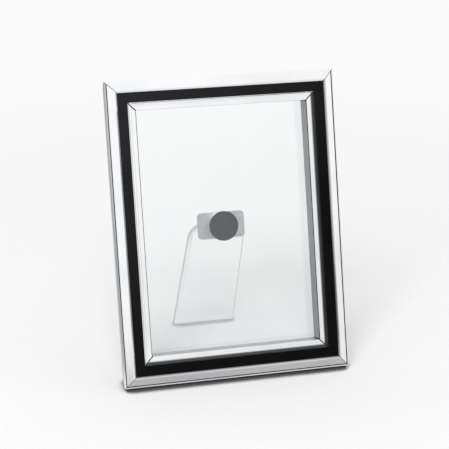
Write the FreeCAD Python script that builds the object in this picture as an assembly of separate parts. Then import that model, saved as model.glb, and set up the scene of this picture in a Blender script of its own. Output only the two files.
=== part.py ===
import FreeCAD
import Part
import math
import os

from FreeCAD import Vector

# Free-standing picture frame of mitred metal rails with black inlay strips,
# clear glazing, a clear back panel and a folding clear easel leg.
# All lengths are in millimetres and all angles are in degrees.
# The pieces are drawn upright, with the crest of the rails at y = 0, the depth along +Y
# and the middle of the window at x = 0, z = 0. The last step leans them back.

# Window and the sheets behind it
sight_width = 123.0
sight_height = 172.6
rabbet_overlap = 2.8
glass_thickness = 2.0
photo_gap = 0.3
panel_thickness = 2.5
sheet_clearance = 0.3

# Rail section, from the window edge outward and from the crest back
lip_width = 3.0
lip_drop = 3.3
cove_width = 2.9
cove_sag = 0.45
strip_drop = 1.2
inlay_width = 7.0
inlay_thickness = 1.5
inlay_recess = 0.15
inlay_clearance = 0.05
shoulder_width = 1.3
shoulder_sag = 0.12
face_width = 5.4
face_drop = 2.8
bevel_width = 1.5
bevel_drop = 1.4
frame_depth = 21.8
side_setback = 2.1
rail_wall = 1.5
mitre_gap = 0.03

# Stance
lean_angle = 14.8
leg_opening = 41.0
ground_cut = 0.4

# Corner keys inside the rails and their screws
key_length = 34.0
key_width = 11.0
key_thickness = 3.0
key_clearance = 0.1
key_screw_inset = 7.0

# Turn clips that hold the back panel
clip_thickness = 0.8
clip_pivot_inset = 10.0
clip_root_radius = 4.0
clip_tip_radius = 2.2
clip_tip_inset = 1.2
clip_bore_clearance = 0.06
clip_height_share = 0.31

# Screws: one size for keys and clips, a smaller one for the hinge plate
screw_radius = 1.4
screw_head_radius = 2.7
screw_head_height = 1.3
screw_length = 4.6
screw_clearance = 0.05
slot_width = 0.7
slot_depth = 0.6
plate_screw_radius = 1.2
plate_screw_head_radius = 2.1
plate_screw_head_height = 1.1
plate_screw_length = 6.0
plate_screw_offset = 6.4

# Pivot puck, glued to the back panel with a pad
pad_radius = 10.7
pad_thickness = 0.5
puck_radius = 10.5
puck_thickness = 8.0
puck_edge_radius = 0.7

# Hinge: fixed plate with three knuckles, leaf with two, one pin
plate_width = 34.6
plate_height = 19.2
plate_thickness = 2.0
plate_corner_radius = 3.0
knuckle_radius = 2.2
knuckle_gap = 0.5
barrel_length = 29.0
knuckle_end_clearance = 0.12
fixed_knuckle_share = 0.22
pin_radius = 1.0
pin_running_clearance = 0.04
pin_head_radius = 1.6
pin_head_height = 0.6
leaf_thickness = 1.0
leaf_width = 26.0
leaf_height = 10.6
leaf_stop_width = 16.0
leaf_knuckle_clearance = 0.4
leaf_corner_radius = 2.0

# Easel leg
leg_thickness = 5.0
leg_top_width = 41.0
leg_foot_width = 48.0
leg_corner_radius = 16.5
leg_top_drop = 1.0
leg_edge_bevel_width = 4.3
leg_edge_bevel_drop = 1.8
stop_clearance = 0.1
rivet_radius = 1.25
rivet_clearance = 0.05
rivet_head_radius = 2.4
rivet_head_height = 1.1
rivet_spacing = 17.0

# How far a cutting shape runs past what it cuts
overrun = 1.0

# Offsets of the section's corners from the window edge
half_sight_width = sight_width / 2
half_sight_height = sight_height / 2
channel_start = lip_width + cove_width
channel_end = channel_start + inlay_width + 2 * inlay_clearance
crest = channel_end + shoulder_width
crease = crest + face_width
rail_width = crease + bevel_width

# Depths behind the crest
inlay_front = strip_drop + inlay_recess
channel_floor = inlay_front + inlay_thickness
side_start = face_drop + bevel_drop
glass_front = frame_depth - panel_thickness - photo_gap - glass_thickness
panel_front = frame_depth - panel_thickness
puck_front = frame_depth + pad_thickness
plate_front = puck_front + puck_thickness
plate_back = plate_front + plate_thickness
hinge_depth = plate_back + knuckle_gap + knuckle_radius
leaf_front = knuckle_radius + leaf_knuckle_clearance
leg_front = leaf_front + leaf_thickness
clip_front = frame_depth

# Each side of the window: its distance from the middle and its half length
sides = {
    "top": (half_sight_height, half_sight_width),
    "right": (half_sight_width, half_sight_height),
    "bottom": (half_sight_height, half_sight_width),
    "left": (half_sight_width, half_sight_height),
}


def polygon_face(points):
    """Flat face through a closed run of points."""
    return Part.Face(Part.makePolygon(list(points) + [points[0]]))


def rail_outline():
    """Outer contour of the rail section as (offset, depth, sag of the edge that follows)."""
    return [
        (0, lip_drop, 0),
        (lip_width, lip_drop, cove_sag),
        (channel_start, strip_drop, 0),
        (channel_start, channel_floor, 0),
        (channel_end, channel_floor, 0),
        (channel_end, strip_drop, shoulder_sag),
        (crest, 0, 0),
        (crease, face_drop, 0),
        (rail_width, side_start, 0),
        (rail_width - side_setback, frame_depth, 0),
        (rabbet_overlap, frame_depth, 0),
        (rabbet_overlap, glass_front, 0),
        (0, glass_front, 0),
    ]


def chamber_outline():
    """Hollow inside the rail, which leaves one wall thickness all round."""
    rabbet_wall = rabbet_overlap + rail_wall
    return [
        (rail_wall, lip_drop + rail_wall, 0),
        (crease - 2 * rail_wall, lip_drop + rail_wall, 0),
        (rail_width - rail_wall, side_start + rail_wall, 0),
        (rail_width - side_setback - rail_wall, frame_depth - rail_wall, 0),
        (rabbet_wall, frame_depth - rail_wall, 0),
        (rabbet_wall, glass_front - rail_wall, 0),
        (rail_wall, glass_front - rail_wall, 0),
    ]


def inlay_outline():
    """Black strip that fills the channel."""
    start = channel_start + inlay_clearance
    end = channel_end - inlay_clearance
    return [
        (start, inlay_front, 0),
        (end, inlay_front, 0),
        (end, channel_floor, 0),
        (start, channel_floor, 0),
    ]


def section_face(outline, across, place):
    """Face of a section, with a straight edge or a hollow arc after each corner."""
    edges = []
    for index, (offset, depth, sag) in enumerate(outline):
        next_offset, next_depth, _ = outline[(index + 1) % len(outline)]
        start = Vector(place, depth, across + offset)
        end = Vector(place, next_depth, across + next_offset)
        if sag:
            chord = end - start
            hollow = Vector(0, chord.z, -chord.y).normalize() * sag
            edges.append(Part.Arc(start, (start + end) / 2 + hollow, end).toShape())
        else:
            edges.append(Part.LineSegment(start, end).toShape())
    return Part.Face(Part.Wire(edges))


def mitred_strip(outline, across, along):
    """Section drawn along the top edge of the window and cut at 45 degrees at both ends.

    across is the half size of the window at right angles to the strip and along
    is its half size in the direction of the strip.
    """
    reach = along + rail_width + overrun
    bar = section_face(outline, across, -reach).extrude(Vector(2 * reach, 0, 0))
    inner = along - mitre_gap
    outer = inner + rail_width + overrun
    top = across + rail_width + overrun
    trapezium = [
        Vector(-inner, -overrun, across),
        Vector(inner, -overrun, across),
        Vector(outer, -overrun, top),
        Vector(-outer, -overrun, top),
    ]
    limit = polygon_face(trapezium).extrude(Vector(0, frame_depth + 2 * overrun, 0))
    return bar.common(limit)


def turn_to_side(shape, side):
    """Turn a strip drawn along the top edge to another side of the window."""
    quarter_turns = list(sides).index(side)
    turned = shape.copy()
    turned.rotate(Vector(0, 0, 0), Vector(0, 1, 0), math.degrees(quarter_turns * math.pi / 2))
    return turned


def cylinder(radius, length, start, direction):
    """Round bar from a start point along a direction."""
    return Part.makeCylinder(radius, length, start, direction)


def clip_pivots():
    """Places of the four turn clips on the side rails, as (name, side, x, z)."""
    x = half_sight_width + clip_pivot_inset
    z = sight_height * clip_height_share
    return [
        ("upper_left", -1, -x, z),
        ("lower_left", -1, -x, -z),
        ("upper_right", 1, x, z),
        ("lower_right", 1, x, -z),
    ]


def key_corners():
    """The four corners of the window, as (name, side in X, side in Z)."""
    return [
        ("top_left", -1, 1),
        ("top_right", 1, 1),
        ("bottom_left", -1, -1),
        ("bottom_right", 1, -1),
    ]


def key_screw_places(side_x, side_z):
    """Two screws per corner key, one in each leg of the key."""
    middle = key_start() + key_width / 2
    near_end = key_start() + key_width - key_length + key_screw_inset
    return [
        (side_x * (half_sight_width + middle), side_z * (half_sight_height + near_end)),
        (side_x * (half_sight_width + near_end), side_z * (half_sight_height + middle)),
    ]


def key_start():
    """Offset from the window edge at which the corner keys begin."""
    return rabbet_overlap + rail_wall + key_clearance


def back_screw_places():
    """Every screw that enters the back of the rails."""
    places = []
    for _, side_x, side_z in key_corners():
        places.extend(key_screw_places(side_x, side_z))
    return places


def make_rails():
    """Four hollow rails with pilot holes for the key screws and clip screws."""
    places = back_screw_places()
    for _, _, x, z in clip_pivots():
        places.append((x, z))
    drills = []
    for x, z in places:
        start = Vector(x, frame_depth - rail_wall - overrun, z)
        drills.append(cylinder(screw_radius + screw_clearance, rail_wall + 2 * overrun, start, Vector(0, 1, 0)))
    holes = Part.makeCompound(drills)
    rails = {}
    for side, (across, along) in sides.items():
        body = mitred_strip(rail_outline(), across, along)
        hollow = mitred_strip(chamber_outline(), across, along + overrun)
        rails["rail_" + side] = turn_to_side(body.cut(hollow), side).cut(holes)
    return rails


def make_inlays():
    """Four black strips in the channels of the rails."""
    inlays = {}
    for side, (across, along) in sides.items():
        inlays["inlay_" + side] = turn_to_side(mitred_strip(inlay_outline(), across, along), side)
    return inlays


def make_corner_keys():
    """Flat L-shaped keys that lie on the back wall inside the rails and join them."""
    back = frame_depth - rail_wall - key_clearance
    start = key_start()
    end = start + key_width
    tail = end - key_length
    keys = {}
    for name, side_x, side_z in key_corners():
        outline = [
            (tail, start),
            (start, start),
            (start, tail),
            (end, tail),
            (end, end - key_width / 2),
            (end - key_width / 2, end),
            (tail, end),
        ]
        points = []
        for x, z in outline:
            points.append(
                Vector(
                    side_x * (half_sight_width + x),
                    back - key_thickness,
                    side_z * (half_sight_height + z),
                )
            )
        key = polygon_face(points).extrude(Vector(0, key_thickness, 0))
        for x, z in key_screw_places(side_x, side_z):
            start_point = Vector(x, back - key_thickness - overrun, z)
            radius = screw_radius + screw_clearance
            key = key.cut(cylinder(radius, key_thickness + 2 * overrun, start_point, Vector(0, 1, 0)))
        keys["corner_key_" + name] = key
    return keys


def pan_screw(x, z, seat):
    """Slotted pan-head screw that enters the frame from behind, with its head on the seat."""
    shank = cylinder(screw_radius, screw_length, Vector(x, seat - screw_length, z), Vector(0, 1, 0))
    head = cylinder(screw_head_radius, screw_head_height, Vector(x, seat, z), Vector(0, 1, 0))
    rim = [edge for edge in head.Edges if edge.BoundBox.YMin > seat + screw_head_height / 2]
    head = head.makeFillet(screw_head_height / 2, [rim[0]])
    slot = Part.makeBox(
        2 * screw_head_radius + 2 * overrun,
        slot_depth + overrun,
        slot_width,
        Vector(
            x - screw_head_radius - overrun,
            seat + screw_head_height - slot_depth,
            z - slot_width / 2,
        ),
    )
    return shank.fuse(head).cut(slot).removeSplitter()


def make_back_screws():
    """Screws of the corner keys, as one group."""
    return Part.makeCompound([pan_screw(x, z, frame_depth) for x, z in back_screw_places()])


def make_clip_screws():
    """Screws on which the turn clips pivot, as one group."""
    seat = clip_front + clip_thickness + clip_bore_clearance
    return Part.makeCompound([pan_screw(x, z, seat) for _, _, x, z in clip_pivots()])


def make_clips():
    """Teardrop turn clips that reach over the edge of the back panel."""
    clips = {}
    reach = clip_pivot_inset - clip_tip_inset - clip_tip_radius
    for name, side, x, z in clip_pivots():
        tip_x = x - side * reach
        start = Vector(x, clip_front, z)
        tip = Vector(tip_x, clip_front, z)
        root = cylinder(clip_root_radius, clip_thickness, start, Vector(0, 1, 0))
        end = cylinder(clip_tip_radius, clip_thickness, tip, Vector(0, 1, 0))
        lean = (clip_root_radius - clip_tip_radius) / reach
        rise = math.sqrt(1 - lean * lean)
        blade_points = []
        for height in (1, -1):
            blade_points.append((x, z, clip_root_radius, height))
        blade_points.append((tip_x, z, clip_tip_radius, -1))
        blade_points.append((tip_x, z, clip_tip_radius, 1))
        corners = []
        for centre_x, centre_z, radius, height in blade_points:
            corners.append(
                Vector(
                    centre_x - side * radius * lean,
                    clip_front,
                    centre_z + height * radius * rise,
                )
            )
        blade = polygon_face(corners).extrude(Vector(0, clip_thickness, 0))
        bore = cylinder(
            screw_radius + clip_bore_clearance,
            clip_thickness + 2 * overrun,
            Vector(x, clip_front - overrun, z),
            Vector(0, 1, 0),
        )
        clips["turn_clip_" + name] = root.fuse([end, blade]).cut(bore).removeSplitter()
    return clips


def make_sheet(front, thickness):
    """Flat clear sheet in the rabbet behind the window."""
    width = sight_width + 2 * rabbet_overlap - 2 * sheet_clearance
    height = sight_height + 2 * rabbet_overlap - 2 * sheet_clearance
    return Part.makeBox(width, thickness, height, Vector(-width / 2, front, -height / 2))


def plate_screw_heights():
    """The hinge plate's two screws, above and below the hinge line."""
    return [plate_screw_offset, -plate_screw_offset]


def make_puck():
    """Round metal spacer between the back panel and the hinge plate."""
    puck = cylinder(puck_radius, puck_thickness, Vector(0, puck_front, 0), Vector(0, 1, 0))
    rims = [edge for edge in puck.Edges if isinstance(edge.Curve, Part.Circle)]
    puck = puck.makeFillet(puck_edge_radius, rims)
    depth = plate_screw_length - plate_thickness + overrun
    for height in plate_screw_heights():
        start = Vector(0, plate_front - depth, height)
        radius = plate_screw_radius + screw_clearance
        puck = puck.cut(cylinder(radius, depth + overrun, start, Vector(0, 1, 0)))
    return puck


def countersunk_shape(height, grow):
    """Flat-head screw form in the hinge plate, grown across by a clearance."""
    head = Part.makeCone(
        plate_screw_radius + grow,
        plate_screw_head_radius + grow,
        plate_screw_head_height,
        Vector(0, plate_back - plate_screw_head_height, height),
        Vector(0, 1, 0),
    )
    start = Vector(0, plate_back - plate_screw_length, height)
    shank = cylinder(plate_screw_radius + grow, plate_screw_length - plate_screw_head_height, start, Vector(0, 1, 0))
    return head.fuse(shank)


def make_plate_screws():
    """Two slotted flat-head screws that hold the hinge plate to the puck."""
    screws = []
    for height in plate_screw_heights():
        slot = Part.makeBox(
            2 * plate_screw_head_radius + 2 * overrun,
            slot_depth + overrun,
            slot_width,
            Vector(
                -plate_screw_head_radius - overrun,
                plate_back - slot_depth,
                height - slot_width / 2,
            ),
        )
        screws.append(countersunk_shape(height, 0).cut(slot))
    return Part.makeCompound(screws)


def rounded_plate(width, height, thickness, radius, front, middle):
    """Upright plate with round corners, centred on x = 0 and on the given height."""
    plate = Part.makeBox(width, thickness, height, Vector(-width / 2, front, middle - height / 2))
    corners = [edge for edge in plate.Edges if edge.BoundBox.YLength > thickness / 2]
    return plate.makeFillet(radius, corners)


def knuckle_spans():
    """Spans of the knuckles along the hinge line, as (fixed, moving) lists of (start, end)."""
    fixed_length = barrel_length * fixed_knuckle_share
    moving_length = (barrel_length - 3 * fixed_length) / 2
    fixed = []
    moving = []
    place = -barrel_length / 2
    for index in range(5):
        if index % 2 == 0:
            fixed.append((place, place + fixed_length))
            place = place + fixed_length
        else:
            moving.append((place + knuckle_end_clearance, place + moving_length - knuckle_end_clearance))
            place = place + moving_length
    return fixed, moving


def make_hinge_plate():
    """Fixed half of the hinge: a rounded plate with three knuckles on webs."""
    plate = rounded_plate(plate_width, plate_height, plate_thickness, plate_corner_radius, plate_front, 0)
    pieces = []
    for start, end in knuckle_spans()[0]:
        point = Vector(start, hinge_depth, 0)
        pieces.append(cylinder(knuckle_radius, end - start, point, Vector(1, 0, 0)))
        web = Part.makeBox(
            end - start,
            hinge_depth - plate_back,
            2 * knuckle_radius,
            Vector(start, plate_back, -knuckle_radius),
        )
        pieces.append(web)
    plate = plate.fuse(pieces).removeSplitter()
    bore_start = Vector(-barrel_length / 2 - overrun, hinge_depth, 0)
    plate = plate.cut(cylinder(pin_radius, barrel_length + 2 * overrun, bore_start, Vector(1, 0, 0)))
    for height in plate_screw_heights():
        plate = plate.cut(countersunk_shape(height, screw_clearance))
    return plate


def make_hinge_pin():
    """Pin through all the knuckles, with a flat head at each end."""
    start = Vector(-barrel_length / 2, hinge_depth, 0)
    shaft = cylinder(pin_radius, barrel_length, start, Vector(1, 0, 0))
    heads = []
    for side in (-1, 1):
        point = Vector(side * barrel_length / 2, hinge_depth, 0)
        heads.append(cylinder(pin_head_radius, pin_head_height, point, Vector(side, 0, 0)))
    return shaft.fuse(heads).removeSplitter()


def leaf_middle():
    """Distance below the hinge line of the middle of the leaf's strap."""
    return knuckle_radius + leaf_knuckle_clearance + leaf_height / 2


def leaf_stop():
    """Height of the leaf above the hinge line, which stops the leg against the plate."""
    opening = math.radians(leg_opening)
    gap = knuckle_gap + knuckle_radius - stop_clearance
    return (gap + leaf_front * math.cos(opening)) / math.sin(opening)


def rivet_places():
    """Places across the leaf of its two rivets."""
    return [-rivet_spacing / 2, rivet_spacing / 2]


def make_leaf():
    """Moving half of the hinge, drawn folded: a strap with a stop and two knuckles."""
    strap_front = hinge_depth + leaf_front
    leaf = rounded_plate(leaf_width, leaf_height, leaf_thickness, leaf_corner_radius, strap_front, -leaf_middle())
    stop_bottom = leaf_middle() - leaf_height / 2 + leaf_corner_radius
    stop = Part.makeBox(
        leaf_stop_width,
        leaf_thickness,
        leaf_stop() + stop_bottom,
        Vector(-leaf_stop_width / 2, strap_front, -stop_bottom),
    )
    pieces = [stop]
    for start, end in knuckle_spans()[1]:
        point = Vector(start, hinge_depth, 0)
        pieces.append(cylinder(knuckle_radius, end - start, point, Vector(1, 0, 0)))
        neck = Part.makeBox(
            end - start,
            leaf_front + leaf_thickness,
            2 * knuckle_radius,
            Vector(start, hinge_depth, -knuckle_radius),
        )
        pieces.append(neck)
    leaf = leaf.fuse(pieces).removeSplitter()
    bore_start = Vector(-barrel_length / 2 - overrun, hinge_depth, 0)
    bore_radius = pin_radius + pin_running_clearance
    leaf = leaf.cut(cylinder(bore_radius, barrel_length + 2 * overrun, bore_start, Vector(1, 0, 0)))
    for x in rivet_places():
        hole_start = Vector(x, strap_front - overrun, -leaf_middle())
        hole = cylinder(rivet_radius + rivet_clearance, leaf_thickness + 2 * overrun, hole_start, Vector(0, 1, 0))
        leaf = leaf.cut(hole)
    return leaf


def make_rivets():
    """Two rivets through leaf and leg, drawn folded, with a head on each side."""
    front = hinge_depth + leaf_front
    back = hinge_depth + leg_front + leg_thickness
    rivets = []
    for x in rivet_places():
        shank = cylinder(rivet_radius, back - front, Vector(x, front, -leaf_middle()), Vector(0, 1, 0))
        rivet = shank
        for place, direction in ((front, -1), (back, 1)):
            point = Vector(x, place, -leaf_middle())
            head = cylinder(rivet_head_radius, rivet_head_height, point, Vector(0, direction, 0))
            middle = place + direction * rivet_head_height
            rim = [edge for edge in head.Edges if abs(edge.BoundBox.Center.y - middle) < rivet_head_height / 4]
            rivet = rivet.fuse(head.makeFillet(rivet_head_height / 2, [rim[0]]))
        rivets.append(rivet.removeSplitter())
    return Part.makeCompound(rivets)


def leg_wire(inset, depth, length):
    """Outline of the leg at one depth, drawn in from its sides and top by the inset."""
    top = -leg_top_drop - inset
    radius = leg_corner_radius - inset
    half_top = leg_top_width / 2 - inset
    half_foot = leg_foot_width / 2 - inset
    slope = (half_foot - half_top) / length
    side_top = half_top + slope * radius
    middle = 1 / math.sqrt(2)
    edges = [
        Part.LineSegment(Vector(-half_foot, depth, -length), Vector(half_foot, depth, -length)),
        Part.LineSegment(Vector(half_foot, depth, -length), Vector(side_top, depth, top - radius)),
        Part.Arc(
            Vector(side_top, depth, top - radius),
            Vector(side_top - radius + radius * middle, depth, top - radius + radius * middle),
            Vector(side_top - radius, depth, top),
        ),
        Part.LineSegment(Vector(side_top - radius, depth, top), Vector(radius - side_top, depth, top)),
        Part.Arc(
            Vector(radius - side_top, depth, top),
            Vector(radius - side_top - radius * middle, depth, top - radius + radius * middle),
            Vector(-side_top, depth, top - radius),
        ),
        Part.LineSegment(Vector(-side_top, depth, top - radius), Vector(-half_foot, depth, -length)),
    ]
    return Part.Wire([edge.toShape() for edge in edges])


def make_leg(length):
    """Flared clear leg, drawn folded, with wide bevels on the edges of its back."""
    front = hinge_depth + leg_front
    bevel_start = front + leg_thickness - leg_edge_bevel_drop
    base = Part.Face(leg_wire(0, front, length)).extrude(Vector(0, leg_thickness - leg_edge_bevel_drop, 0))
    lower = leg_wire(0, bevel_start, length)
    upper = leg_wire(leg_edge_bevel_width, front + leg_thickness, length)
    crown = Part.makeLoft([lower, upper], True, True)
    leg = base.fuse(crown).removeSplitter()
    for x in rivet_places():
        hole_start = Vector(x, front - overrun, -leaf_middle())
        hole = cylinder(rivet_radius + rivet_clearance, leg_thickness + 2 * overrun, hole_start, Vector(0, 1, 0))
        leg = leg.cut(hole)
    return leg


def leaned(depth, height):
    """Where a point of the upright drawing lies in Y and Z after the frame leans back."""
    lean = math.radians(lean_angle)
    y = depth * math.cos(lean) + height * math.sin(lean)
    z = height * math.cos(lean) - depth * math.sin(lean)
    return y, z


def floor_height():
    """Height of the floor in the leaned drawing: a shallow flat on the rear lower edge."""
    rear_edge = leaned(frame_depth, -(half_sight_height + rail_width - side_setback))
    return rear_edge[1] + ground_cut


def leg_length():
    """Length of the leg below the hinge line, enough to pass the floor on both faces."""
    slope = math.radians(leg_opening - lean_angle)
    drop = leaned(hinge_depth, 0)[1] - floor_height()
    reach = (leg_front + leg_thickness) * math.sin(slope)
    return (drop + reach + overrun) / math.cos(slope)


def lean_back(shape):
    """Lean a shape back with the frame."""
    leaned_shape = shape.copy()
    leaned_shape.rotate(Vector(0, 0, 0), Vector(1, 0, 0), -lean_angle)
    return leaned_shape


def open_leg(shape):
    """Swing a folded leg piece out to the stance."""
    opened = shape.copy()
    opened.rotate(Vector(0, hinge_depth, 0), Vector(1, 0, 0), leg_opening)
    return opened


def build_nodes():
    """All sub-parts in the upright drawing, with the leg swung out."""
    nodes = {}
    nodes.update(make_rails())
    nodes.update(make_inlays())
    nodes.update(make_corner_keys())
    nodes["key_screws"] = make_back_screws()
    nodes["front_glass"] = make_sheet(glass_front, glass_thickness)
    nodes["back_panel"] = make_sheet(panel_front, panel_thickness)
    nodes.update(make_clips())
    nodes["clip_screws"] = make_clip_screws()
    nodes["pivot_pad"] = cylinder(pad_radius, pad_thickness, Vector(0, frame_depth, 0), Vector(0, 1, 0))
    nodes["pivot_puck"] = make_puck()
    nodes["hinge_plate"] = make_hinge_plate()
    nodes["plate_screws"] = make_plate_screws()
    nodes["hinge_pin"] = make_hinge_pin()
    nodes["leg_leaf"] = open_leg(make_leaf())
    nodes["leg_rivets"] = open_leg(make_rivets())
    nodes["easel_leg"] = open_leg(make_leg(leg_length()))
    return nodes


def stand_on_floor(nodes):
    """Lean everything back, trim what passes the floor and centre the footprint."""
    floor = floor_height()
    size = 4 * (sight_height + rail_width)
    below = Part.makeBox(size, size, size, Vector(-size / 2, -size / 2, floor - size))
    placed = {}
    for name, shape in nodes.items():
        shape = lean_back(shape)
        if name in ("rail_bottom", "easel_leg"):
            shape = shape.cut(below)
        placed[name] = shape
    bounds = Part.makeCompound(list(placed.values())).BoundBox
    shift = Vector(0, -bounds.Center.y, -floor)
    for shape in placed.values():
        shape.translate(shift)
    return placed, shift


def report_points(nodes, shift):
    """Print the hinge lines and rest faces in the finished model's own frame."""
    for name in ("rail_bottom", "easel_leg"):
        for face in nodes[name].Faces:
            if face.BoundBox.ZMax < screw_clearance:
                centre = face.CenterOfMass
                print("rest face", name, round(centre.y, 4), round(centre.z, 4), "width", round(face.BoundBox.YLength, 3))
    y, z = leaned(hinge_depth, 0)
    print("hinge line y, z", round(y + shift.y, 4), round(z + shift.z, 4))
    for name, _, x, height in clip_pivots():
        y, z = leaned(clip_front, height)
        print("clip pivot", name, round(x, 4), round(y + shift.y, 4), round(z + shift.z, 4))
    lean = math.radians(lean_angle)
    print("clip axis", 0, round(math.cos(lean), 6), round(-math.sin(lean), 6))
    print("leg length below the hinge line", round(leg_length(), 3), "stop", round(leaf_stop(), 3))


def main():
    os.makedirs("parts", exist_ok=True)
    nodes, shift = stand_on_floor(build_nodes())
    for name, shape in nodes.items():
        shape.exportStep("parts/" + name + ".step")
        print(name, len(shape.Solids), shape.isValid(), round(shape.Volume, 1))
    bounds = Part.makeCompound(list(nodes.values())).BoundBox
    print("overall", round(bounds.XLength, 2), round(bounds.YLength, 2), round(bounds.ZLength, 2))
    report_points(nodes, shift)


main()
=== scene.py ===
from math import cos, pi, radians, sin

import bmesh
import bpy
from mathutils import Matrix, Vector


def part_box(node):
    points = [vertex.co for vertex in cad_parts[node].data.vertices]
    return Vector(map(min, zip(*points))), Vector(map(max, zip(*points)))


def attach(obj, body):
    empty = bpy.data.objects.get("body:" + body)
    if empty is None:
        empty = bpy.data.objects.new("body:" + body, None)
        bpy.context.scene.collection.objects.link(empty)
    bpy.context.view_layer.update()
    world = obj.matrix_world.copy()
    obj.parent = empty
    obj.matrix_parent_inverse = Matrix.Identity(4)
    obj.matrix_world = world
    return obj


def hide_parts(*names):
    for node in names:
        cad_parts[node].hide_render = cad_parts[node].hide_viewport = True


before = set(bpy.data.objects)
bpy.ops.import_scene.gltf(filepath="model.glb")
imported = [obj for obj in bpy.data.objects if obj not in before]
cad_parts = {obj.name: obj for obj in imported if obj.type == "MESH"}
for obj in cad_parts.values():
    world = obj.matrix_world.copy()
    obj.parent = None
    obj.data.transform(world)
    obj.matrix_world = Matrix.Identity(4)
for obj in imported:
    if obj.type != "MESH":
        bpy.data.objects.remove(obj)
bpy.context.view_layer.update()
mm = 0.001
print("frame loaded:", len(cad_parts), "nodes")


# the frame leans back; its own axes are X, into the frame (Y) and up along it (Z)
stance = {"leanAngle": 14.8, "legOpening": 41.0, "glassMiddleDepth": 18.0}

lean = radians(stance["leanAngle"])
glassLow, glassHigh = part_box("front_glass")
upright = Matrix.Rotation(-lean, 4, "X")
windowCentre = (glassLow + glassHigh) / 2 - upright @ Vector((0, stance["glassMiddleDepth"] * mm, 0))
leaned = Matrix.Translation(windowCentre) @ upright


# an sRGB hex colour as the linear colour that shaders take
def linear(hexColour):
    channels = [int(hexColour[i:i + 2], 16) / 255 for i in (1, 3, 5)]
    return [c / 12.92 if c <= 0.04045 else ((c + 0.055) / 1.055) ** 2.4 for c in channels] + [1.0]


# adds a node, sets its properties, and gives each input a value or a link
def addNode(tree, kind, settings=None, inputs=None):
    node = tree.nodes.new(kind)
    for name, value in (settings or {}).items():
        setattr(node, name, value)
    for key, value in (inputs or {}).items():
        if isinstance(value, bpy.types.NodeSocket):
            tree.links.new(value, node.inputs[key])
        else:
            node.inputs[key].default_value = value
    return node


# settings that many nodes share
add, subtract, multiply, maximum, absolute, lessThan, greaterThan = ({"operation": kind} for kind in (
    "ADD", "SUBTRACT", "MULTIPLY", "MAXIMUM", "ABSOLUTE", "LESS_THAN", "GREATER_THAN"))
smoothStep = {"interpolation_type": "SMOOTHSTEP"}
colourMix = {"data_type": "RGBA"}
# a count of bounces above this is at least one
atLeastOne = 0.5


# a material with an empty tree
def emptyMaterial(name):
    material = bpy.data.materials.new(name)
    material.use_nodes = True
    material.node_tree.nodes.clear()
    return material, material.node_tree


# slow and fine unevenness from 0 to 1; the size of its spots is in mm along each axis
def unevenness(tree, place, size, detail=2.0, start=0.3, end=0.7):
    stretched = addNode(tree, "ShaderNodeMapping", {}, {
        "Vector": place, "Scale": [1 / (s * mm) for s in size]})
    noise = addNode(tree, "ShaderNodeTexNoise", {}, {
        "Vector": stretched.outputs["Vector"], "Scale": 1.0, "Detail": detail, "Roughness": 0.55})
    spread = addNode(tree, "ShaderNodeMapRange", smoothStep, {
        "Value": noise.outputs[0], "From Min": start, "From Max": end})
    return spread.outputs["Result"]


# Materials

moulding = {
    # the darkest colour on the next line is painted shade beside the black strip
    "colour": "#F2F3F4", "cloud": "#E9EBED", "smooth": 0.07, "dull": 0.14, "tarnish": "#2E2F30",
    "hairline": (60.0, 0.9, 0.9), "cloudSize": (38.0, 38.0, 38.0), "wave": (46.0, 9.0, 9.0),
    "hairlineDepth": 0.002, "waveDepth": 0.05,
    "millColour": "#BCBFC1", "millStreak": "#A3A6A9", "millRoughness": 0.42,
    "millLine": (40.0, 0.6, 0.6), "millDepth": 0.006,
    # the residue colours also paint shade in the groove and on the window's front edge
    "residueAndShadeColour": "#232425", "residueAndShadeDust": "#3D3E3F", "residueGrain": (0.6, 0.6, 0.6),
    "residueRoughness": 0.55, "residueSpecular": 0.2,
}


# the metal's colour, with painted shade beside the black strip on the right and bottom rails
def withPaintedShade(tree, colour):
    tarnish = addNode(tree, "ShaderNodeAttribute", {"attribute_name": "tarnish"})
    return addNode(tree, "ShaderNodeMix", colourMix, {
        0: tarnish.outputs["Fac"], 6: colour.outputs[2], 7: linear(moulding["tarnish"])}).outputs[2]


# aluminium moulding, buffed along its length and bright plated: a clear mirror with faint hairlines
def makeBuffedPlate():
    material, tree = emptyMaterial("buffedBrightPlate")
    along = addNode(tree, "ShaderNodeAttribute", {"attribute_name": "railSpace"}).outputs["Vector"]
    # real buffing lines are 0.05 mm apart; they are drawn 0.9 mm apart so that they show at all
    hairline = unevenness(tree, along, moulding["hairline"], detail=4.0)
    cloud = unevenness(tree, along, moulding["cloudSize"])
    wave = unevenness(tree, along, moulding["wave"], detail=1.0, start=0.0, end=1.0)
    colour = addNode(tree, "ShaderNodeMix", colourMix, {
        0: cloud, 6: linear(moulding["colour"]), 7: linear(moulding["cloud"])})
    roughness = addNode(tree, "ShaderNodeMapRange", {}, {
        "Value": hairline, "To Min": moulding["smooth"], "To Max": moulding["dull"]})
    waved = addNode(tree, "ShaderNodeBump", {}, {
        "Height": wave, "Strength": 1.0, "Distance": moulding["waveDepth"] * mm})
    lined = addNode(tree, "ShaderNodeBump", {}, {
        "Height": hairline, "Strength": 1.0, "Distance": moulding["hairlineDepth"] * mm,
        "Normal": waved.outputs["Normal"]})
    surface = addNode(tree, "ShaderNodeBsdfPrincipled", {}, {
        "Base Color": withPaintedShade(tree, colour), "Metallic": 1.0,
        "Roughness": roughness.outputs["Result"], "Normal": lined.outputs["Normal"]})
    addNode(tree, "ShaderNodeOutputMaterial", {}, {"Surface": surface.outputs[0]})
    return material


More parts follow.
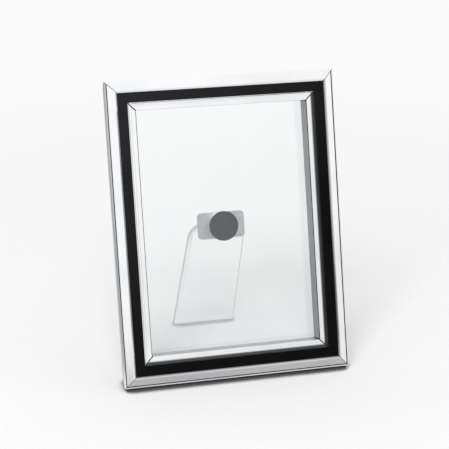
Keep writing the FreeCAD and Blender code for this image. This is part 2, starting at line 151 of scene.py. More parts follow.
# the same aluminium as it left the die, in the window opening and on the outer wall:
# greyer, with lines along its length
def makeMillFinish():
    material, tree = emptyMaterial("extrudedAluminium")
    along = addNode(tree, "ShaderNodeAttribute", {"attribute_name": "railSpace"}).outputs["Vector"]
    dieLine = unevenness(tree, along, moulding["millLine"], detail=3.0)
    colour = addNode(tree, "ShaderNodeMix", colourMix, {
        0: dieLine, 6: linear(moulding["millColour"]), 7: linear(moulding["millStreak"])})
    drawn = addNode(tree, "ShaderNodeBump", {}, {
        "Height": dieLine, "Strength": 1.0, "Distance": moulding["millDepth"] * mm})
    surface = addNode(tree, "ShaderNodeBsdfPrincipled", {}, {
        "Base Color": withPaintedShade(tree, colour), "Metallic": 1.0,
        "Roughness": moulding["millRoughness"], "Normal": drawn.outputs["Normal"]})
    addNode(tree, "ShaderNodeOutputMaterial", {}, {"Surface": surface.outputs[0]})
    return material


# dark polishing residue that stays in the mitre seams, and painted shade in the groove and on the inner edge
def makeResidueAndPaintedShade():
    material, tree = emptyMaterial("polishResidueAndPaintedShade")
    place = addNode(tree, "ShaderNodeTexCoord").outputs["Object"]
    grain = unevenness(tree, place, moulding["residueGrain"])
    colour = addNode(tree, "ShaderNodeMix", colourMix, {
        0: grain, 6: linear(moulding["residueAndShadeColour"]), 7: linear(moulding["residueAndShadeDust"])})
    surface = addNode(tree, "ShaderNodeBsdfPrincipled", {}, {
        "Base Color": colour.outputs[2], "Roughness": moulding["residueRoughness"],
        "Specular IOR Level": moulding["residueSpecular"]})
    addNode(tree, "ShaderNodeOutputMaterial", {}, {"Surface": surface.outputs[0]})
    return material


blackStrip = {
    "foot": "#030303", "head": "#262628", "cloud": "#121213",
    # the head colour and the next keys paint a sheen, lighter towards the upper left corner
    "sheenSide": (-0.9, 0.0, 1.0), "sheenStart": 60.0, "sheenFull": 260.0,
    "smooth": 0.16, "dull": 0.24, "specular": 0.06, "patches": 0.3,
    "orangePeel": (2.4, 2.4, 2.4), "cloudSize": (30.0, 12.0, 12.0), "peelDepth": 0.004,
}


# steel strip in stoved gloss enamel: nearly black, with a soft sheen and a faint orange peel
def makeBlackEnamel():
    material, tree = emptyMaterial("stovedBlackEnamel")
    along = addNode(tree, "ShaderNodeAttribute", {"attribute_name": "railSpace"}).outputs["Vector"]
    cloud = unevenness(tree, along, blackStrip["cloudSize"])
    # a painted sheen makes it lighter towards the upper left corner
    reach = addNode(tree, "ShaderNodeVectorMath", {"operation": "DOT_PRODUCT"}, {
        0: addNode(tree, "ShaderNodeTexCoord").outputs["Object"], 1: blackStrip["sheenSide"]})
    paintedSheen = addNode(tree, "ShaderNodeMapRange", {}, {
        "Value": reach.outputs["Value"],
        "From Min": blackStrip["sheenStart"] * mm, "From Max": blackStrip["sheenFull"] * mm})
    sheened = addNode(tree, "ShaderNodeMix", colourMix, {
        0: paintedSheen.outputs["Result"], 6: linear(blackStrip["foot"]), 7: linear(blackStrip["head"])})
    patchy = addNode(tree, "ShaderNodeMath", multiply, {0: cloud, 1: blackStrip["patches"]})
    colour = addNode(tree, "ShaderNodeMix", colourMix, {
        0: patchy.outputs[0], 6: sheened.outputs[2], 7: linear(blackStrip["cloud"])})
    roughness = addNode(tree, "ShaderNodeMapRange", {}, {
        "Value": cloud, "To Min": blackStrip["smooth"], "To Max": blackStrip["dull"]})
    peel = addNode(tree, "ShaderNodeBump", {}, {
        "Height": unevenness(tree, along, blackStrip["orangePeel"], detail=1.0, start=0.0, end=1.0),
        "Strength": 1.0, "Distance": blackStrip["peelDepth"] * mm})
    surface = addNode(tree, "ShaderNodeBsdfPrincipled", {}, {
        "Base Color": colour.outputs[2], "Roughness": roughness.outputs["Result"],
        "Specular IOR Level": blackStrip["specular"], "Normal": peel.outputs["Normal"]})
    addNode(tree, "ShaderNodeOutputMaterial", {}, {"Surface": surface.outputs[0]})
    return material


sawnEdge = {
    "colour": "#C8CBCB", "shade": "#B2B6B6", "roughness": 0.4, "ior": 1.49, "clarity": 0.25,
    "saw": (0.5, 0.5, 3.0), "depth": 0.01,
    # a face is an edge of the sheet where its normal leans less than this towards the sheet's own
    "facing": 0.3,
}


# sawn and lightly polished edges of the acrylic leg: hazy, so that they show as pale grey lines
def makeSawnEdge():
    material, tree = emptyMaterial("sawnAcrylicEdge")
    place = addNode(tree, "ShaderNodeTexCoord").outputs["Object"]
    saw = unevenness(tree, place, sawnEdge["saw"])
    colour = addNode(tree, "ShaderNodeMix", colourMix, {
        0: saw, 6: linear(sawnEdge["colour"]), 7: linear(sawnEdge["shade"])})
    sawn = addNode(tree, "ShaderNodeBump", {}, {
        "Height": saw, "Strength": 1.0, "Distance": sawnEdge["depth"] * mm})
    surface = addNode(tree, "ShaderNodeBsdfPrincipled", {}, {
        "Base Color": colour.outputs[2], "Roughness": sawnEdge["roughness"], "IOR": sawnEdge["ior"],
        "Transmission Weight": sawnEdge["clarity"], "Normal": sawn.outputs["Normal"]})
    path = addNode(tree, "ShaderNodeLightPath").outputs
    through = addNode(tree, "ShaderNodeBsdfTransparent", {}, {"Color": linear(sawnEdge["colour"])})
    both = addNode(tree, "ShaderNodeMixShader", {}, {
        0: path["Is Shadow Ray"], 1: surface.outputs[0], 2: through.outputs[0]})
    addNode(tree, "ShaderNodeOutputMaterial", {}, {"Surface": both.outputs[0]})
    return material


clearSheets = {
    "floatGlass": {
        "colour": "#FEFFFE", "shade": "#FDFEFE", "lampLight": "#F9FAFA", "ior": 1.5,
        "ripple": (60.0, 60.0, 60.0), "depth": 0.002, "mostBounces": 7.0},
    "castAcrylic": {
        "colour": "#FFFFFF", "shade": "#FDFDFE", "lampLight": "#F9F9FA", "ior": 1.49,
        "ripple": (34.0, 34.0, 34.0), "depth": 0.004, "mostBounces": 7.0},
}


# clear sheet: float glass is flat and faintly green, cast acrylic is a little wavier and neutral
def makeClearSheet(name):
    finish = clearSheets[name]
    material, tree = emptyMaterial(name)
    place = addNode(tree, "ShaderNodeTexCoord").outputs["Object"]
    ripple = unevenness(tree, place, finish["ripple"], detail=1.0, start=0.0, end=1.0)
    colour = addNode(tree, "ShaderNodeMix", colourMix, {
        0: ripple, 6: linear(finish["colour"]), 7: linear(finish["shade"])})
    rippled = addNode(tree, "ShaderNodeBump", {}, {
        "Height": ripple, "Strength": 1.0, "Distance": finish["depth"] * mm})
    surface = addNode(tree, "ShaderNodeBsdfPrincipled", {}, {
        "Base Color": colour.outputs[2], "Roughness": 0.0, "IOR": finish["ior"],
        "Transmission Weight": 1.0, "Normal": rippled.outputs["Normal"]})
    # light on its way to a matt surface passes straight through, and so does a ray caught in a corner
    path = addNode(tree, "ShaderNodeLightPath").outputs
    caught = addNode(tree, "ShaderNodeMath", greaterThan, {0: path["Ray Depth"], 1: finish["mostBounces"]})
    fromMatt = addNode(tree, "ShaderNodeMath", greaterThan, {0: path["Diffuse Depth"], 1: atLeastOne})
    bounced = addNode(tree, "ShaderNodeMath", maximum, {0: fromMatt.outputs[0], 1: caught.outputs[0]})
    leaves = addNode(tree, "ShaderNodeMath", maximum, {0: path["Is Shadow Ray"], 1: bounced.outputs[0]})
    through = addNode(tree, "ShaderNodeBsdfTransparent", {}, {"Color": linear(finish["lampLight"])})
    both = addNode(tree, "ShaderNodeMixShader", {}, {
        0: leaves.outputs[0], 1: surface.outputs[0], 2: through.outputs[0]})
    addNode(tree, "ShaderNodeOutputMaterial", {}, {"Surface": both.outputs[0]})
    return material


smallMetal = {
    "zincPlatedSteel": {
        "colour": "#C9CBCE", "stain": "#B4B4AE", "smooth": 0.24, "dull": 0.38,
        "grain": (0.5, 0.5, 0.5), "depth": 0.004},
    "rolledSpringSteel": {
        "colour": "#BFC1C4", "stain": "#A9ABAD", "smooth": 0.22, "dull": 0.36,
        "grain": (7.0, 0.5, 0.5), "depth": 0.005},
    "brushedNickelPlate": {
        "colour": "#AEB2B7", "stain": "#A2A7AC", "smooth": 0.26, "dull": 0.36,
        "grain": (9.0, 0.4, 0.4), "depth": 0.004},
    "turnedSteel": {
        "colour": "#E9EAEC", "stain": "#DADCDF", "smooth": 0.1, "dull": 0.2,
        "grain": (12.0, 0.35, 12.0), "depth": 0.004},
    "pressureCastZinc": {
        "colour": "#A9ABAD", "stain": "#8F9193", "smooth": 0.45, "dull": 0.62,
        "grain": (1.2, 1.2, 1.2), "depth": 0.02},
}
stainSize = (4.0, 4.0, 4.0)


# metal small parts: zinc plate is mottled, rolled and brushed metal is streaked one way,
# turned steel has rings and cast zinc is grainy
def makeMetal(name):
    finish = smallMetal[name]
    material, tree = emptyMaterial(name)
    place = addNode(tree, "ShaderNodeTexCoord").outputs["Object"]
    grain = unevenness(tree, place, finish["grain"], detail=3.0)
    colour = addNode(tree, "ShaderNodeMix", colourMix, {
        0: unevenness(tree, place, stainSize), 6: linear(finish["colour"]), 7: linear(finish["stain"])})
    roughness = addNode(tree, "ShaderNodeMapRange", {}, {
        "Value": grain, "To Min": finish["smooth"], "To Max": finish["dull"]})
    grained = addNode(tree, "ShaderNodeBump", {}, {
        "Height": grain, "Strength": 1.0, "Distance": finish["depth"] * mm})
    surface = addNode(tree, "ShaderNodeBsdfPrincipled", {}, {
        "Base Color": colour.outputs[2], "Metallic": 1.0,
        "Roughness": roughness.outputs["Result"], "Normal": grained.outputs["Normal"]})
    addNode(tree, "ShaderNodeOutputMaterial", {}, {"Surface": surface.outputs[0]})
    return material


bondingPad = {
    "colour": "#202325", "worn": "#2C3032", "pore": (0.7, 0.7, 0.7), "depth": 0.05,
    "roughness": 0.9, "specular": 0.25,
}


# closed-cell foam tape, die cut: matt, dark, with fine pores
def makeFoam():
    material, tree = emptyMaterial("dieCutFoamTape")
    place = addNode(tree, "ShaderNodeTexCoord").outputs["Object"]
    pore = unevenness(tree, place, bondingPad["pore"])
    colour = addNode(tree, "ShaderNodeMix", colourMix, {
        0: pore, 6: linear(bondingPad["colour"]), 7: linear(bondingPad["worn"])})
    pitted = addNode(tree, "ShaderNodeBump", {}, {
        "Height": pore, "Strength": 1.0, "Distance": bondingPad["depth"] * mm})
    surface = addNode(tree, "ShaderNodeBsdfPrincipled", {}, {
        "Base Color": colour.outputs[2], "Roughness": bondingPad["roughness"],
        "Specular IOR Level": bondingPad["specular"], "Normal": pitted.outputs["Normal"]})
    addNode(tree, "ShaderNodeOutputMaterial", {}, {"Surface": surface.outputs[0]})
    return material


plateMetal = makeBuffedPlate()
millMetal = makeMillFinish()
residueAndShade = makeResidueAndPaintedShade()
enamel = makeBlackEnamel()
floatGlass = makeClearSheet("floatGlass")
castAcrylic = makeClearSheet("castAcrylic")
hazyEdge = makeSawnEdge()
zincPlate = makeMetal("zincPlatedSteel")
rolledSteel = makeMetal("rolledSpringSteel")
brushedNickel = makeMetal("brushedNickelPlate")
turnedSteel = makeMetal("turnedSteel")
castZinc = makeMetal("pressureCastZinc")
foam = makeFoam()
print("materials made")


# Mesh helpers

# angles in degrees, distances in mm
meshing = {"sharpAngle": 40.0, "normalWeight": 80, "weld": 0.001, "cadWeld": 0.002, "flatAngle": 0.5,
           "bevelAngle": 30.0, "bevelSteps": 2}


# an object in the scene with that mesh
def addObject(name, mesh):
    obj = bpy.data.objects.new(name, mesh)
    bpy.context.scene.collection.objects.link(obj)
    return obj


# turns the object and its modifiers into one plain mesh, set in its place
def settle(obj, place=Matrix.Identity(4)):
    graph = bpy.context.evaluated_depsgraph_get()
    mesh = bpy.data.meshes.new_from_object(
        obj.evaluated_get(graph), preserve_all_data_layers=True, depsgraph=graph)
    obj.modifiers.clear()
    mesh.transform(place)
    obj.data = mesh
    return obj


# flat faces stay flat and the rounded edges between them shade smoothly
def shadeRounded(obj):
    obj.data.shade_smooth()
    obj.data.set_sharp_from_angle(angle=radians(meshing["sharpAngle"]))
    weighted = obj.modifiers.new("weightedNormals", "WEIGHTED_NORMAL")
    weighted.keep_sharp = True
    weighted.weight = meshing["normalWeight"]
    return settle(obj)


# sets a modifier's inputs by the names they have in its tree
def setInputs(modifier, values):
    for item in modifier.node_group.interface.items_tree:
        if item.item_type == "SOCKET" and item.in_out == "INPUT" and item.name in values:
            modifier[item.identifier] = values[item.name]


# a piece that stands for CAD nodes, on their body
def standsFor(obj, body, slotName, *nodes):
    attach(obj, body)
    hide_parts(*nodes)
    return obj


# Mitred moulding

# lengths in mm; a sweep is 1 long before it is placed, and its ends lie beyond endFrom from its middle
rail = {
    "halfWidth": 61.5, "halfHeight": 86.3, "mitreGap": 0.03, "endFrom": 0.49, "roundSteps": 4,
    "arris": 0.42, "innerWidth": 6.0, "outerArrisShare": 0.42,
    "crest": (14.3, 0.0), "crease": (19.7, 2.8), "bevelEnd": (21.2, 4.2), "creaseRadius": 0.3,
    # the bottom of the groove lies nearer the window by grooveLean of its depth
    "grooveDepth": 0.45, "grooveRadius": 0.06, "grooveLean": 0.6,
    # offset from the window edge, depth behind the crest, radius of the rounded edge,
    # hollow of the stretch that follows
    "inner": [(0.0, 3.3, 0.5, 0), (3.0, 3.3, 0.15, 0.45), (5.9, 1.2, 0.1, 0), (5.9, 2.85, 0.1, 0),
              (13.0, 2.85, 0.1, 0), (13.0, 1.2, 0.1, 0), (14.3, 0.0, 0.6, 0)],
    "outer": [(21.2, 4.2, 0.45, 0), (19.1, 21.8, 0.4, 0), (2.8, 21.8, 0.3, 0), (2.8, 17.0, 0.2, 0),
              (0.0, 17.0, 0.2, 0)],
    "hollowSteps": 7,
    # where each painted shade beside the black strip begins, where it is darkest, how dark it is and where
    # it ends
    "paintedShades": [(2.9, 4.1, 1.0, 6.0), (14.8, 13.2, 0.9, 12.9)],
    # the window wall lies within this offset, the outer wall beyond this offset and depth
    "wallOffset": 0.01, "outerOffset": 19.0, "outerDepth": 4.7,
}
inlay = {
    "section": [(5.95, 1.35, 0.12), (12.95, 1.35, 0.12), (12.95, 2.85, 0.1), (5.95, 2.85, 0.1)],
    "arris": 0.14,
}
# how dark a side's painted shade beside the black strip and on its window wall is, half width of its groove
# and of the painted shade in it, width of its painted dark front edge; the turn is in degrees
sides = {
    "top": {
        "turn": 0, "level": True, "tarnish": 0.0, "wallPaintedShade": 0.0,
        "groove": 0.0, "dark": 0.0, "edge": 0.0},
    "right": {
        "turn": 90, "level": False, "tarnish": 0.97, "wallPaintedShade": 0.3,
        "groove": 0.66, "dark": 0.8, "edge": 0.5},
    "bottom": {
        "turn": 180, "level": True, "tarnish": 0.95, "wallPaintedShade": 0.0,
        "groove": 0.5, "dark": 0.55, "edge": 0.0},
    "left": {
        "turn": 270, "level": False, "tarnish": 0.0, "wallPaintedShade": 0.0,
        "groove": 0.42, "dark": 0.13, "edge": 0.5},
}


# corners of the section from the window outward, with its hollows as short steps
def hollowed(corners, last):
    points = []
    for (offset, depth, radius, sag), following in zip(corners, corners[1:] + [last]):
        points.append((offset, depth, radius))
        if sag:
            start, end = Vector((offset, depth)), Vector(following[:2])
            chord = end - start
            inward = Vector((-chord.y, chord.x)).normalized()
            for i in range(1, rail["hollowSteps"]):
                share = i / rail["hollowSteps"]
                # a parabola as deep as the sag
                spot = start + chord * share + inward * sag * 4 * share * (1 - share)
                points.append((spot.x, spot.y, 0.0))
    return points


# the whole rail section; a dark crease between its face and its bevel is a fine groove
def railSection(halfWidth):
    crest, crease, end = (Vector(rail[name]) for name in ("crest", "crease", "bevelEnd"))
    inner, outer = hollowed(rail["inner"], rail["crease"]), hollowed(rail["outer"], rail["inner"][0])
    if not halfWidth:
        return inner + [(*crease, rail["creaseRadius"])] + outer
    into = (crease - crest).normalized() * halfWidth
    out = (end - crease).normalized() * halfWidth
    depth, radius = rail["grooveDepth"], rail["grooveRadius"]
    groove = [(*(crease - into), radius), (crease.x - depth * rail["grooveLean"], crease.y + depth, 0.0),
              (*(crease + out), radius)]
    return inner + groove + outer


paintedShadeInputs = ("Painted Shade Start", "Painted Shade Full", "Painted Shade Most", "Painted Shade End")


# sweeps a section along one side of the window and cuts both ends at 45 degrees
def makeMouldingTree():
    tree = bpy.data.node_groups.new("mitredMoulding", "GeometryNodeTree")
    measures = ["Half Across", "Half Along", "Mitre Gap", "Inner Width", "Outer Arris Share",
                "Groove Offset", "Groove Half Width", "Wall Offset", "Edge Offset",
                "Outer Offset", "Outer Depth", "Painted Shade", "Wall Painted Shade"]
    measures += [what + " " + where for where in ("Inside", "Outside") for what in paintedShadeInputs]
    wanted = [("Section", "Geometry")] + [(name, "Float") for name in measures]
    for name, kind in wanted + [(name, "Material") for name in ("Metal", "Mill", "Residue And Painted Shade")]:
        tree.interface.new_socket(name=name, in_out="INPUT", socket_type="NodeSocket" + kind)
    tree.interface.new_socket(name="Moulding", in_out="OUTPUT", socket_type="NodeSocketGeometry")
    given = addNode(tree, "NodeGroupInput").outputs
    loop = addNode(tree, "GeometryNodeMeshToCurve", {}, {"Mesh": given["Section"]})
    radius = addNode(tree, "GeometryNodeInputNamedAttribute", {"data_type": "FLOAT"}, {
        "Name": "cornerRadius"})
    rounded = addNode(tree, "GeometryNodeFilletCurve", {"mode": "POLY"}, {
        "Curve": loop.outputs[0], "Count": rail["roundSteps"],
        "Radius": radius.outputs[0], "Limit Radius": True})
    end = addNode(tree, "GeometryNodeFillCurve", {"mode": "NGONS"}, {"Curve": rounded.outputs[0]})
    swept = addNode(tree, "GeometryNodeExtrudeMesh", {"mode": "FACES"}, {
        "Mesh": end.outputs[0], "Offset": (0, 0, 1), "Offset Scale": 1.0, "Individual": False})
    start = addNode(tree, "GeometryNodeFlipFaces", {}, {"Mesh": end.outputs[0]})
    closed = addNode(tree, "GeometryNodeJoinGeometry")
    tree.links.new(swept.outputs["Mesh"], closed.inputs[0])
    tree.links.new(start.outputs[0], closed.inputs[0])
    bar = addNode(tree, "GeometryNodeMergeByDistance", {}, {
        "Geometry": closed.outputs[0], "Distance": meshing["weld"] * mm})
    position = addNode(tree, "GeometryNodeInputPosition").outputs[0]
    point = addNode(tree, "ShaderNodeSeparateXYZ", {}, {0: position}).outputs
    # the rim of each end gets an arris
    middle = addNode(tree, "ShaderNodeMath", subtract, {0: point["Z"], 1: 0.5})
    fromMiddle = addNode(tree, "ShaderNodeMath", absolute, {0: middle.outputs[0]})
    atEnd = addNode(tree, "ShaderNodeMath", greaterThan, {0: fromMiddle.outputs[0], 1: rail["endFrom"]})
    # it is widest between the window and the black strip, where the seams have opened most,
    # and a share of that width further out
    inside = addNode(tree, "ShaderNodeMath", lessThan, {0: point["X"], 1: given["Inner Width"]})
    share = addNode(tree, "ShaderNodeMath", maximum, {
        0: inside.outputs[0], 1: given["Outer Arris Share"]})
    weight = addNode(tree, "ShaderNodeMath", multiply, {0: atEnd.outputs[0], 1: share.outputs[0]})
    rimmed = addNode(tree, "GeometryNodeStoreNamedAttribute", {"data_type": "FLOAT", "domain": "EDGE"}, {
        "Geometry": bar.outputs[0], "Name": "bevel_weight_edge", "Value": weight.outputs[0]})
    # an end point moves out by half the window and its own offset, which makes the 45 degree cut
    side = addNode(tree, "ShaderNodeMath", multiply, {0: middle.outputs[0], 1: 2.0})
    shortened = addNode(tree, "ShaderNodeMath", subtract, {0: given["Half Along"], 1: given["Mitre Gap"]})
    reach = addNode(tree, "ShaderNodeMath", add, {0: shortened.outputs[0], 1: point["X"]})
    along = addNode(tree, "ShaderNodeMath", multiply, {0: side.outputs[0], 1: reach.outputs[0]})
    across = addNode(tree, "ShaderNodeMath", add, {0: given["Half Across"], 1: point["X"]})
    place = addNode(tree, "ShaderNodeCombineXYZ", {}, {
        0: along.outputs[0], 1: point["Y"], 2: across.outputs[0]})
    placed = addNode(tree, "GeometryNodeSetPosition", {}, {
        "Geometry": rimmed.outputs[0], "Position": place.outputs[0]})
    vectors = {"data_type": "FLOAT_VECTOR", "domain": "POINT"}
    marked = addNode(tree, "GeometryNodeStoreNamedAttribute", vectors, {
        "Geometry": placed.outputs[0], "Name": "railSpace", "Value": position})
    # from here on a point's offset from the window is its height less half the window
    offset = addNode(tree, "ShaderNodeMath", subtract, {0: point["Z"], 1: given["Half Across"]}).outputs[0]
    # painted shade on the metal on both sides of the black strip, darker towards it
    towards = []
    for where, nearer in (("Inside", lessThan), ("Outside", greaterThan)):
        start, full, most, limit = (given[what + " " + where] for what in paintedShadeInputs)
        rising = addNode(tree, "ShaderNodeMapRange", smoothStep, {
            "Value": offset, "From Min": start, "From Max": full, "To Max": most})
        within = addNode(tree, "ShaderNodeMath", nearer, {0: offset, 1: limit})
        towards.append(addNode(tree, "ShaderNodeMath", multiply, {
            0: rising.outputs["Result"], 1: within.outputs[0]}))
    either = addNode(tree, "ShaderNodeMath", maximum, {0: towards[0].outputs[0], 1: towards[1].outputs[0]})
    # painted shade on the window wall too, as dark as the side asks
    onWall = addNode(tree, "ShaderNodeMath", lessThan, {0: offset, 1: given["Wall Offset"]})
    hollowDark = addNode(tree, "ShaderNodeMath", multiply, {0: either.outputs[0], 1: given["Painted Shade"]})
    wallDark = addNode(tree, "ShaderNodeMath", multiply, {0: onWall.outputs[0], 1: given["Wall Painted Shade"]})
    dark = addNode(tree, "ShaderNodeMath", maximum, {0: hollowDark.outputs[0], 1: wallDark.outputs[0]})
    shadePainted = addNode(tree, "GeometryNodeStoreNamedAttribute", {"data_type": "FLOAT", "domain": "POINT"}, {
        "Geometry": marked.outputs[0], "Name": "tarnish", "Value": dark.outputs[0]})
    whole = addNode(tree, "GeometryNodeRealizeInstances", {}, {"Geometry": shadePainted.outputs[0]})
    plated = addNode(tree, "GeometryNodeSetMaterial", {}, {
        "Geometry": whole.outputs[0], "Material": given["Metal"]})
    # painted shade: the walls of the groove and the front edge of the window opening take the dark residue
    # material
    fromGroove = addNode(tree, "ShaderNodeMath", subtract, {0: offset, 1: given["Groove Offset"]})
    distance = addNode(tree, "ShaderNodeMath", absolute, {0: fromGroove.outputs[0]})
    inGroove = addNode(tree, "ShaderNodeMath", lessThan, {
        0: distance.outputs[0], 1: given["Groove Half Width"]})
    onEdge = addNode(tree, "ShaderNodeMath", lessThan, {0: offset, 1: given["Edge Offset"]})
    paintedShadeLines = addNode(tree, "ShaderNodeMath", maximum, {0: inGroove.outputs[0], 1: onEdge.outputs[0]})
    lined = addNode(tree, "GeometryNodeSetMaterial", {}, {
        "Geometry": plated.outputs[0], "Selection": paintedShadeLines.outputs[0], "Material": given["Residue And Painted Shade"]})
    # the window opening and the outer wall keep their mill finish
    outward = addNode(tree, "ShaderNodeMath", greaterThan, {0: offset, 1: given["Outer Offset"]})
    deep = addNode(tree, "ShaderNodeMath", greaterThan, {0: point["Y"], 1: given["Outer Depth"]})
    onSide = addNode(tree, "ShaderNodeMath", multiply, {0: outward.outputs[0], 1: deep.outputs[0]})
    onMill = addNode(tree, "ShaderNodeMath", maximum, {0: onWall.outputs[0], 1: onSide.outputs[0]})
    walled = addNode(tree, "GeometryNodeSetMaterial", {}, {
        "Geometry": lined.outputs[0], "Selection": onMill.outputs[0], "Material": given["Mill"]})
    addNode(tree, "NodeGroupOutput", {}, {0: walled.outputs[0]})
    return tree


# the section as a closed loop of edges, with the radius of each corner
def sectionLoop(name, corners):
    mesh = bpy.data.meshes.new(name)
    count = len(corners)
    points = [(offset * mm, depth * mm, 0) for offset, depth, _ in corners]
    mesh.from_pydata(points, [(i, (i + 1) % count) for i in range(count)], [])
    radii = mesh.attributes.new("cornerRadius", "FLOAT", "POINT")
    for i, corner in enumerate(corners):
        radii.data[i].value = corner[2] * mm
    return mesh


# cuts away what would stand below the floor and closes the cut
def trimAtFloor(obj):
    cut = bmesh.new()
    cut.from_mesh(obj.data)
    everything = cut.verts[:] + cut.edges[:] + cut.faces[:]
    found = bmesh.ops.bisect_plane(
        cut, geom=everything, plane_co=(0, 0, 0), plane_no=(0, 0, -1), clear_outer=True)
    rim = [e for e in found["geom_cut"] if isinstance(e, bmesh.types.BMEdge)]
    bmesh.ops.contextual_create(cut, geom=rim)
    cut.to_mesh(obj.data)
    cut.free()


# makes sure that a closed mesh has its faces outward
def faceOutward(obj):
    mesh = bmesh.new()
    mesh.from_mesh(obj.data)
    if mesh.calc_volume(signed=True) < 0:
        bmesh.ops.reverse_faces(mesh, faces=mesh.faces[:])
        mesh.to_mesh(obj.data)
    mesh.free()


mouldingTree = makeMouldingTree()


# one side of the rails or of the black strips; its mitre arris has the seam's material
def makeSide(name, corners, side, metal, seam, arris):
    finish = sides[side]
    across, along = rail["halfWidth"], rail["halfHeight"]
    if finish["level"]:
        across, along = along, across
    obj = addObject(name, sectionLoop(name, corners))
    modifier = obj.modifiers.new("moulding", "NODES")
    modifier.node_group = mouldingTree
    setInputs(modifier, {
        "Half Across": across * mm, "Half Along": along * mm, "Mitre Gap": rail["mitreGap"] * mm,
        "Inner Width": rail["innerWidth"] * mm, "Outer Arris Share": rail["outerArrisShare"],
        "Groove Offset": rail["crease"][0] * mm, "Groove Half Width": finish["dark"] * mm,
        "Wall Offset": rail["wallOffset"] * mm, "Edge Offset": finish["edge"] * mm,
        "Outer Offset": rail["outerOffset"] * mm, "Outer Depth": rail["outerDepth"] * mm,
        "Painted Shade": finish["tarnish"], "Wall Painted Shade": finish["wallPaintedShade"],
        "Metal": metal, "Mill": millMetal, "Residue And Painted Shade": residueAndShade})
    for where, (start, full, most, end) in zip(("Inside", "Outside"), rail["paintedShades"]):
        setInputs(modifier, {
            "Painted Shade Start " + where: start * mm, "Painted Shade Full " + where: full * mm,
            "Painted Shade Most " + where: most, "Painted Shade End " + where: end * mm})
    settle(obj, leaned @ Matrix.Rotation(radians(finish["turn"]), 4, "Y"))
    faceOutward(obj)
    if seam.name not in obj.data.materials:
        obj.data.materials.append(seam)
    bevel = obj.modifiers.new("arris", "BEVEL")
    bevel.limit_method = "WEIGHT"
    bevel.width = arris * mm
    bevel.use_clamp_overlap = False
    bevel.segments = 1
    bevel.material = obj.data.materials.find(seam.name)
    settle(obj)
    if side != "top":
        trimAtFloor(obj)
    return shadeRounded(obj)


for side, finish in sides.items():
    section = railSection(finish["groove"])
    piece = makeSide("moulding_" + side, section, side, plateMetal, residueAndShade, rail["arris"])
    standsFor(piece, "frame", "polished_rail", "rail_" + side)
    strip = makeSide("enamel_strip_" + side, inlay["section"], side, enamel, enamel, inlay["arris"])
    standsFor(strip, "frame", "black_inlay", "inlay_" + side)
print("rails and strips made")


# Pieces that keep their CAD form with softened edges

# CAD node: name of the piece, body, slot, material and width of its soft edges in mm
softened = {
    "front_glass": ("glazing", "frame", "clear_glass", floatGlass, 0.3),
    "back_panel": ("backing_panel", "frame", "clear_panel", castAcrylic, 0.4),
    "easel_leg": ("clear_leg", "leg", "clear_leg", castAcrylic, 0.5),
    "leg_leaf": ("hinge_leaf", "leg", "hinge_steel", brushedNickel, 0.15),
    "leg_rivets": ("leaf_rivets", "leg", "hinge_steel", brushedNickel, 0.1),
    "hinge_plate": ("hinge_fixed_plate", "frame", "hinge_steel", brushedNickel, 0.25),
    "hinge_pin": ("hinge_pivot_pin", "frame", "hinge_steel", brushedNickel, 0.15),
    "plate_screws": ("hinge_plate_screws", "frame", "screw_steel", zincPlate, 0.06),
    "pivot_puck": ("spacer_puck", "frame", "puck_steel", turnedSteel, 0.1),
    "pivot_pad": ("bonding_pad", "frame", "pad_foam", foam, 0.12),
    "turn_clip_upper_left": ("clip_blade_upper_left", "clip_upper_left", "clip_steel", rolledSteel, 0.12),
    "turn_clip_lower_left": ("clip_blade_lower_left", "clip_lower_left", "clip_steel", rolledSteel, 0.12),
    "turn_clip_upper_right": ("clip_blade_upper_right", "clip_upper_right", "clip_steel", rolledSteel, 0.12),
    "turn_clip_lower_right": ("clip_blade_lower_right", "clip_lower_right", "clip_steel", rolledSteel, 0.12),
}


# copies a CAD node, joins its loose triangles and rounds its sharp edges a little
def softenedCopy(node, name, material, width):
    mesh = bmesh.new()
    mesh.from_mesh(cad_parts[node].data)
    bmesh.ops.remove_doubles(mesh, verts=mesh.verts, dist=meshing["cadWeld"] * mm)
    bmesh.ops.dissolve_limit(
        mesh, angle_limit=radians(meshing["flatAngle"]), verts=mesh.verts, edges=mesh.edges)
    bmesh.ops.recalc_face_normals(mesh, faces=mesh.faces)
    data = bpy.data.meshes.new(name)
    mesh.to_mesh(data)
    mesh.free()
    data.materials.clear()
    data.materials.append(material)
    obj = addObject(name, data)
    bevel = obj.modifiers.new("softEdge", "BEVEL")
    bevel.limit_method = "ANGLE"
    bevel.angle_limit = radians(meshing["bevelAngle"])
    bevel.width = width * mm
    bevel.segments = meshing["bevelSteps"]
    settle(obj)
    return shadeRounded(obj)


# gives the hazy material to the faces of the leg that lie square to its front and back
def hazeEdges(obj, material):
    facing = upright @ Matrix.Rotation(radians(stance["legOpening"]), 4, "X") @ Vector((0, 1, 0))
    obj.data.materials.append(material)
    for face in obj.data.polygons:
        if abs(face.normal.dot(facing)) < sawnEdge["facing"]:
            face.material_index = 1


for node, (name, body, slotName, material, width) in softened.items():
    piece = softenedCopy(node, name, material, width)
    if node == "easel_leg":
        hazeEdges(piece, hazyEdge)
    standsFor(piece, body, slotName, node)
print("softened pieces made")

# the corner keys keep their CAD mesh, because nothing shows them
for node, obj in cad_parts.items():
    if node.startswith("corner_key"):
        obj.data.materials.clear()
        obj.data.materials.append(castZinc)


# Slotted pan-head screws in the back of the rails

backScrews = {
    "headRadius": 2.7, "headHeight": 1.3, "crown": 0.55, "crownSteps": 5, "facets": 32,
    "shankRadius": 1.4, "tip": 0.3, "length": 4.6, "slotWidth": 0.7, "slotDepth": 0.6, "seed": 7,
    "key": {"seat": 21.8, "spots": [(71.4, 74.7), (49.9, 96.2)]},
    "clip": {"seat": 22.66, "spots": [(71.5, 53.506)]},
}


